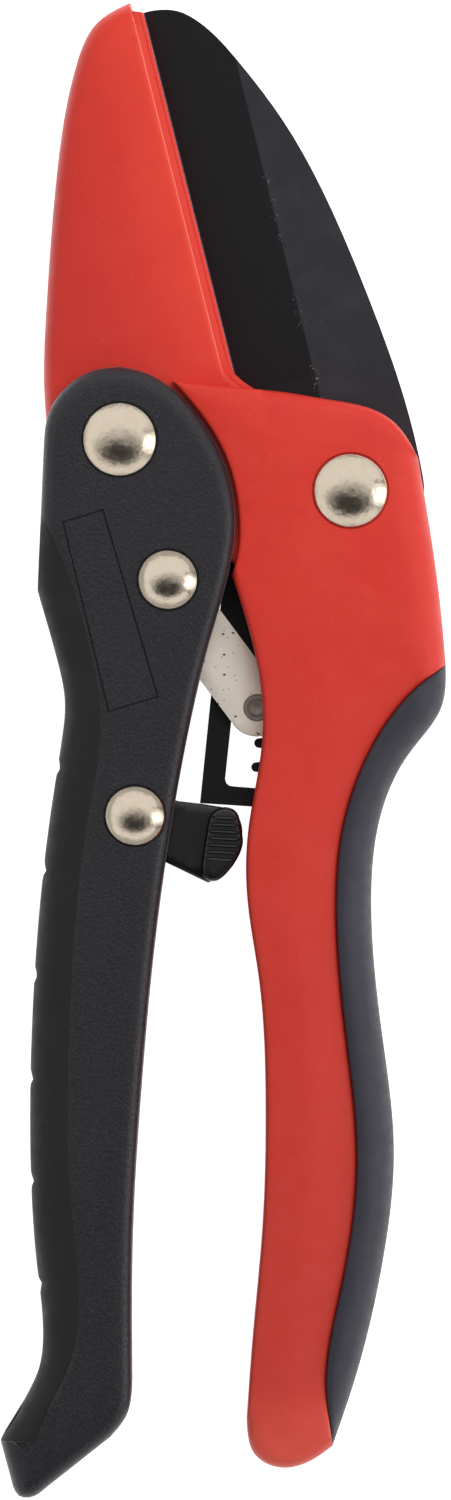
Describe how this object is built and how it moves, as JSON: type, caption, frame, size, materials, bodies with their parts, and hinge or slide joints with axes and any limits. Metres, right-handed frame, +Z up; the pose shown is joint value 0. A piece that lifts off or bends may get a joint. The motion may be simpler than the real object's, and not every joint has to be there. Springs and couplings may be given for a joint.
{
  "type": "pruning shears",
  "caption": "Ratchet anvil pruning shears, closed: moulded body with anvil jaw, steel blade, channel lever handle, link plates and thumb latch.",
  "frame": {"origin": "middle of the closed tool's footprint, on the surface it lies on", "axes": "+Z up from the surface, +Y along the tool from the handle ends to the jaw's tip, +X from the lever handle to the body handle"},
  "size_m": [0.0612, 0.205, 0.0217],
  "materials": {
    "red_nylon": "satin",
    "grip_rubber": "matte",
    "nickel_steel": "polished",
    "washer_steel": "satin",
    "spring_steel": "satin",
    "black_nylon": "satin",
    "black_rubber": "matte",
    "coated_blade": "satin",
    "link_nickel": "satin",
    "pin_steel": "satin",
    "latch_plastic": "gloss"
  },
  "bodies": {
    "body": {"anvil_body": "red_nylon", "body_grip": "grip_rubber", "blade_pivot_rivet": "nickel_steel", "blade_rivet_washer": "washer_steel", "blade_friction_washers": "washer_steel", "handle_pivot_bush": "washer_steel", "opening_spring": "spring_steel"},
    "handle": {"lever_handle": "black_nylon", "lever_grip": "black_rubber", "handle_pivot_rivet": "nickel_steel", "handle_rivet_washer": "washer_steel", "link_rivet": "nickel_steel", "link_rivet_washer": "washer_steel", "link_side_spacers": "washer_steel", "link_spring": "spring_steel", "latch_rivet": "nickel_steel", "latch_rivet_washer": "washer_steel", "latch_washers": "washer_steel"},
    "blade": {"cutting_blade": "coated_blade"},
    "link": {"link_front": "link_nickel", "link_rear": "link_nickel", "link_spacer": "washer_steel", "ratchet_pin": "pin_steel"},
    "latch": {"lock_latch": "latch_plastic"}
  },
  "joints": [
    {"name": "handle_swing", "type": "hinge", "parent": "body", "child": "handle", "pos_m": [-0.0143, 0.0424, 0.01], "axis": [0, 0, -1], "range_deg": [0, 45]},
    {"name": "blade_swing", "type": "hinge", "parent": "body", "child": "blade", "pos_m": [0.0173, 0.0354, 0.01], "axis": [0, 0, -1], "range_deg": [0, 22.5]},
    {"name": "link_swing", "type": "hinge", "parent": "handle", "child": "link", "pos_m": [-0.0077, 0.0232, 0.01], "axis": [0, 0, 1], "range_deg": [0, 42.5]},
    {"name": "latch_swing", "type": "hinge", "parent": "handle", "child": "latch", "pos_m": [-0.0122, -0.0091, 0.01], "axis": [0, 0, 1], "range_deg": [0, 10]}
  ],
  "couplings": [
    {"joint": "blade_swing", "follows": "handle_swing", "ratio": 0.5},
    {"joint": "link_swing", "follows": "handle_swing", "ratio": 0.94}
  ]
}
